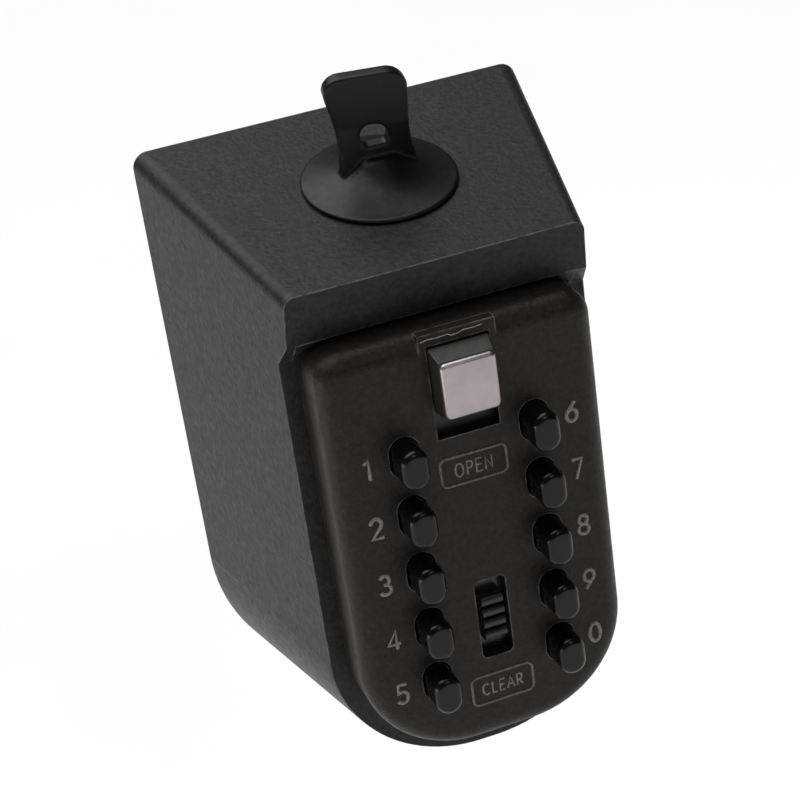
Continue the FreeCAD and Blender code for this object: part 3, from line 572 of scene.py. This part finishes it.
def tab_mesh(bm):
    """An upright tab with concave sides and a round hole, as a closed solid."""
    outline = []
    side_steps, corner_steps = 27, 8
    for step in range(side_steps + 1):
        height = TAB_FOOT + (TAB_TOP - TAB_CORNER - TAB_FOOT) * step / side_steps
        outline.append((tab_half_width(height), height))
    for step in range(1, corner_steps + 1):
        angle = math.radians(90 * step / corner_steps)
        outline.append((tab_half_width(TAB_TOP) - TAB_CORNER + TAB_CORNER * math.cos(angle),
                        TAB_TOP - TAB_CORNER + TAB_CORNER * math.sin(angle)))
    outline += [(-x, z) for x, z in reversed(outline)]
    count = len(outline)
    hole = []
    for x, z in outline:
        angle = math.atan2(z - HOLE_UP, x)
        hole.append((HOLE_RADIUS * math.cos(angle), HOLE_UP + HOLE_RADIUS * math.sin(angle)))
    layers = []
    for y in (-TAB_HALF_THICK, TAB_HALF_THICK):
        layers.append([[bm.verts.new((x, y, z)) for x, z in loop] for loop in (outline, hole)])
    (front_out, front_in), (back_out, back_in) = layers
    for k in range(count):
        after = (k + 1) % count
        bm.faces.new((front_out[k], front_out[after], front_in[after], front_in[k]))
        bm.faces.new((back_out[k], back_in[k], back_in[after], back_out[after]))
        bm.faces.new((front_out[k], back_out[k], back_out[after], front_out[after]))
        bm.faces.new((front_in[k], front_in[after], back_in[after], back_in[k]))


def pull_tab(mesh):
    """Leans and twists the part of the cup above its neck, as a tab that is being pulled."""
    for vertex in mesh.vertices:
        pull = max(0.0, vertex.co.z - TAB_ROOT)
        twist = TAB_TWIST * min(1.0, pull / TWIST_HEIGHT)
        x, y = vertex.co.x + math.tan(TAB_LEAN) * pull, vertex.co.y
        vertex.co.x = x * math.cos(twist) - y * math.sin(twist)
        vertex.co.y = x * math.sin(twist) + y * math.cos(twist)


def make_suction_cup():
    """One moulded rubber piece: cone and tab melted together, the tab leaning where it is pulled."""
    bm = bmesh.new()
    lathe(bm, cup_profile())
    tab_mesh(bm)
    bmesh.ops.recalc_face_normals(bm, faces=bm.faces)
    source = new_object("suction_source", mesh_from("suction_source", bm))
    remesh = source.modifiers.new("remesh", "REMESH")
    remesh.mode = "VOXEL"
    remesh.voxel_size = MELT_SIZE
    remesh.use_smooth_shade = True
    soften = source.modifiers.new("soften", "SMOOTH")
    soften.factor = SOFTEN_SHARE
    soften.iterations = SOFTEN_STEPS
    mesh = smooth(finished_mesh(source))
    pull_tab(mesh)
    top_here = WALL_TOP - SLOPE_FALL * CUP_DEPTH / SLOPE_RUN + CUP_LIFT
    mesh.transform(Matrix.Translation((0, -CUP_DEPTH, top_here)) @ Matrix.Rotation(CUP_TILT, 4, "X"))
    piece = link("suction_cup_rubber", mesh, MATERIALS["cup_rubber"], "cup")
    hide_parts("suction_cup")


# ---------------------------------------------------------------- clear slider

# The front of the sliding plates behind the door, and how far a part on top sinks into its plate.
PLATE_FRONT, JOIN = -0.0551, 0.0002
RIBS, RIB_STEPS = 4, 8
RIB_LIFT, RIB_DEPTH = 0.00002, 0.00115
RIB_COVER, RIB_SQUARENESS = 0.42, 0.7
KNOB_HALF, KNOB_LOW, KNOB_HIGH = 0.0021, -0.0242, -0.0150
FOOT_HALF, FOOT_LOW, FOOT_BEHIND = 0.0026, -0.0245, 0.0016
SLIDE_THICK = 0.0017
KNOB_EDGE, KNOB_EDGE_ANGLE = 0.00016, 50


def knob_outline(front):
    """The knob seen from the side, as depth and height: rounded ribs on a straight back."""
    crest, valley = front + RIB_LIFT, front + RIB_DEPTH
    pitch = (KNOB_HIGH - KNOB_LOW) / RIBS
    outline = [(PLATE_FRONT + JOIN, KNOB_LOW), (valley, KNOB_LOW)]
    for rib in range(RIBS):
        base = KNOB_LOW + rib * pitch
        for step in range(RIB_STEPS + 1):
            angle = math.radians(180 * step / RIB_STEPS)
            outline.append((valley + (crest - valley) * math.sin(angle) ** RIB_SQUARENESS,
                            base + pitch * (0.5 - RIB_COVER * math.cos(angle))))
    return outline + [(valley, KNOB_HIGH), (PLATE_FRONT + JOIN, KNOB_HIGH)]


def make_clear_slider():
    """The slider: a plate behind the window and a thumb knob with four rounded ribs."""
    low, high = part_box("clear_slider")
    outline = knob_outline(low[1])
    bm = bmesh.new()
    loft(bm, [[(x, y, z) for y, z in outline] for x in (-KNOB_HALF, KNOB_HALF)])
    for x_half, y_front, y_back, z_low, z_high in (
            (high[0], PLATE_FRONT, PLATE_FRONT + SLIDE_THICK, low[2], high[2]),
            (FOOT_HALF, PLATE_FRONT + FOOT_BEHIND, high[1], FOOT_LOW, KNOB_HIGH)):
        middle = Matrix.Translation((0, (y_front + y_back) / 2, (z_low + z_high) / 2))
        stretch = Matrix.Diagonal((2 * x_half, y_back - y_front, z_high - z_low, 1))
        bmesh.ops.create_cube(bm, size=1.0, matrix=middle @ stretch)
    piece = bevelled_piece("clear_slider_knob", bm, KNOB_EDGE, "slider_black", "clear", KNOB_EDGE_ANGLE)
    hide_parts("clear_slider")


# ---------------------------------------------------------------- lever block and hood corners

def rectangle(half, bottom, top, y):
    """The corners of an upright rectangle at one depth."""
    return [(-half, y, bottom), (half, y, bottom), (half, y, top), (-half, y, top)]


BLOCK_ROOT, ROOT_HALF = -0.0579, 0.0055
DOME, DOME_STEPS, DOME_SHRINK = 0.00070, 6, 0.8
FACE_CORNER, FACE_STEP = 0.0010, 0.00005
BLOCK_EDGE, FACE_EDGE = 0.00025, 0.00003


def make_lever_block():
    """The moulded lever: a plate behind the window, and a block that narrows towards its bright face."""
    low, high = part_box("lever_block")
    face_low, face_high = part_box("lever_face")
    bm = bmesh.new()
    loft(bm, [rectangle(high[0], low[2], high[2], high[1]), rectangle(high[0], low[2], high[2], PLATE_FRONT)])
    loft(bm, [rectangle(ROOT_HALF, face_low[2], high[2], PLATE_FRONT + JOIN),
              rectangle(ROOT_HALF, face_low[2], high[2], BLOCK_ROOT),
              rectangle(face_high[0], face_low[2], face_high[2], low[1])])
    piece = bevelled_piece("lever_block_moulded", bm, BLOCK_EDGE, "lever_black", "lever")
    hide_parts("lever_block")


def make_lever_face():
    """The bright plate on the lever, with a domed edge all round."""
    low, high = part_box("lever_face")
    middle = centre("lever_face")
    half_width, half_height = high[0], (high[2] - low[2]) / 2
    thick = high[1] - low[1]
    loops = [(high[1], rounded_loop(half_width, half_height, FACE_CORNER))]
    for step in range(DOME_STEPS + 1):
        angle = math.radians(90 * step / DOME_STEPS)
        inset = DOME * (1 - math.cos(angle))
        loop = rounded_loop(half_width - inset, half_height - inset, FACE_CORNER - DOME_SHRINK * inset)
        loops.append((high[1] - FACE_STEP - (thick - FACE_STEP) * math.sin(angle), loop))
    bm = bmesh.new()
    loft(bm, [[(x, y, middle.z + z) for x, z in loop] for y, loop in loops])
    piece = bevelled_piece("lever_face_plated", bm, FACE_EDGE, "lever_chrome", "lever")
    smooth(piece.data)
    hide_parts("lever_face")


FLASH_LINE, FLASH_LIFT = 0.00009, 0.00001
# The flash's course along the window's top edge, across and up, in millimetres.
FLASH_RUN = ((-6.5, 36.5), (-5.2, 36.7), (-3.4, 36.6), (-1.6, 36.75), (-0.9, 36.35), (0.2, 36.45),
             (1.3, 36.8), (3.0, 36.7), (4.6, 36.85))


def make_flash_line():
    """The thin bright line of rubbed casting flash along the top of the door's lever window."""
    data = wire_data("flash_line", FLASH_LINE, 2)
    data.use_fill_caps = True
    draw_line(data, [(x * MILLIMETRE, FACE_Y - FLASH_LIFT, z * MILLIMETRE) for x, z in FLASH_RUN])
    mesh = smooth(finished_mesh(new_object("flash_line", data)))
    link("flash_line", mesh, FLASH_PAINT, "door")


WEB_REACH, WEB_TOP, WEB_SIDE = 0.0256, 0.03845, 0.0042
WEB_BACK, WEB_FACET = -0.0459, 0.01195
CORNER_RADIUS, CORNER_ACROSS, CORNER_UP = 0.0055, 0.0201, 0.0326
CORNER_START, CORNER_STEPS = 18, 8
WEB_EDGE = 0.00008


def make_hood_corners():
    """The cast webs that follow the door's two upper corners under the hood."""
    outline = [(CORNER_ACROSS, WEB_TOP), (WEB_REACH, WEB_TOP), (WEB_REACH, WEB_TOP - WEB_SIDE)]
    for step in range(CORNER_STEPS + 1):
        angle = math.radians(CORNER_START + (90 - CORNER_START) * step / CORNER_STEPS)
        outline.append((CORNER_ACROSS + CORNER_RADIUS * math.cos(angle),
                        CORNER_UP + CORNER_RADIUS * math.sin(angle)))
    for side, label in ((-1, "left"), (1, "right")):
        bm = bmesh.new()
        loft(bm, [[(side * x, WEB_BACK, z) for x, z in outline],
                  [(side * x, -(z + WEB_FACET), z) for x, z in outline]])
        bevelled_piece(f"hood_corner_{label}", bm, WEB_EDGE, "case_coating", "case")


# ---------------------------------------------------------------- springs

SPRING_WIRE = 0.00021
BUTTON_TURNS, SLIDE_PITCH = 5.0, 0.0013
STEPS_PER_TURN, WIRE_SIDES = 20, 8


def coil(name, node, along_z):
    """A round-wire spring in the space of its CAD sleeve, running from one end of the sleeve to the other."""
    low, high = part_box(node)
    middle = centre(node)
    axis = 2 if along_z else 1
    length = high[axis] - low[axis]
    radius = (high[0] - low[0]) / 2 - SPRING_WIRE
    turns = length / SLIDE_PITCH if along_z else BUTTON_TURNS
    steps = int(turns * STEPS_PER_TURN)
    rings = []
    for step in range(steps + 1):
        angle = 2 * math.pi * turns * step / steps
        travel = SPRING_WIRE + (length - 2 * SPRING_WIRE) * step / steps
        out = Vector((math.cos(angle), math.sin(angle), 0))
        ring = []
        for k in range(WIRE_SIDES):
            t = 2 * math.pi * k / WIRE_SIDES
            point = (out * (radius + SPRING_WIRE * math.cos(t))
                     + Vector((0, 0, travel + SPRING_WIRE * math.sin(t))))
            if along_z:
                ring.append((middle.x + point.x, middle.y + point.y, low[2] + point.z))
            else:
                ring.append((middle.x + point.x, high[1] - point.z, middle.z + point.y))
        rings.append(ring)
    bm = bmesh.new()
    loft(bm, rings)
    bmesh.ops.recalc_face_normals(bm, faces=bm.faces)
    piece = link(name, smooth(mesh_from(name, bm)), MATERIALS["spring_steel"], None)
    start, end = middle.copy(), middle.copy()
    start[axis] = low[axis] if along_z else high[axis]
    end[axis] = high[axis] if along_z else low[axis]
    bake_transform(piece)
    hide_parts(node)


def make_springs():
    """The coils behind the buttons, the lever and the clear slider."""
    for digit in DIGITS:
        coil(f"button_coil_{digit}", f"button_spring_{digit}", False)
    coil("lever_coil", "lever_spring", True)
    coil("clear_coil", "clear_spring", True)


# ---------------------------------------------------------------- stage and light

FLOOR_BELOW, FLOOR_HALF = 0.12, 4.0
ROOM_STRENGTH = 0.05


def make_stage():
    """A plain pale floor under the box, and a world that is white to look at and dim as a light."""
    floor_level = CAD_BOUNDS[0][2] - FLOOR_BELOW
    bm = bmesh.new()
    bm.faces.new([bm.verts.new((x, y, floor_level)) for x, y in
                  ((-FLOOR_HALF, -FLOOR_HALF), (FLOOR_HALF, -FLOOR_HALF), (FLOOR_HALF, FLOOR_HALF),
                   (-FLOOR_HALF, FLOOR_HALF))])
    floor = new_object("floor", mesh_from("floor", bm))
    floor.data.materials.append(plain_stage("floor_look", (0.97, 0.97, 0.97)))
    world = bpy.data.worlds.new("studio")
    bpy.context.scene.world = world
    world.use_nodes = True
    tree = world.node_tree
    seen = tree.nodes["Background"]
    dim_room = tree.nodes.new("ShaderNodeBackground")
    for background in (seen, dim_room):
        background.inputs["Color"].default_value = (1.0, 1.0, 1.0, 1)
    dim_room.inputs["Strength"].default_value = ROOM_STRENGTH
    path = tree.nodes.new("ShaderNodeLightPath")
    either = tree.nodes.new("ShaderNodeMixShader")
    tree.links.new(path.outputs["Is Camera Ray"], either.inputs["Fac"])
    tree.links.new(dim_room.outputs["Background"], either.inputs[1])
    tree.links.new(seen.outputs["Background"], either.inputs[2])
    tree.links.new(either.outputs["Shader"], tree.nodes["World Output"].inputs["Surface"])


def turned_to(direction):
    """The rotation that points a lamp along a direction."""
    return Vector(direction).to_track_quat("-Z", "Y").to_euler()


def soft_light(name, place, target, size, power):
    """One square soft box aimed at a point."""
    data = bpy.data.lights.new(name, "AREA")
    data.shape = "SQUARE"
    data.size = size
    data.energy = power
    lamp = new_object(name, data)
    lamp.location = place
    lamp.rotation_euler = turned_to(Vector(target) - Vector(place))


SKY_STRENGTH, SKY_SOFTNESS, SKY_DIRECTION = 3.3, 70, (0.25, -0.30, -1.0)
# Name, place, target, size and power of each soft box.
SOFT_BOXES = (
    ("light_left", (-0.70, -0.10, -0.32), (0, -0.03, -0.03), 0.45, 5.2),
    ("light_front", (0.10, -0.75, 0.55), (0, -0.03, 0), 0.25, 0.6),
)


def make_lights():
    """An overhead sky of soft light that whitens the floor, and soft boxes at the left and in front."""
    data = bpy.data.lights.new("light_sky", "SUN")
    data.energy = SKY_STRENGTH
    data.angle = math.radians(SKY_SOFTNESS)
    new_object("light_sky", data).rotation_euler = turned_to(SKY_DIRECTION)
    for box in SOFT_BOXES:
        soft_light(*box)
    bpy.context.scene.view_settings.view_transform = "Standard"


make_camera()
dress_cad_nodes()
make_marks()
make_suction_cup()
make_clear_slider()
make_lever_block()
make_lever_face()
make_flash_line()
make_hood_corners()
make_springs()
make_stage()
make_lights()
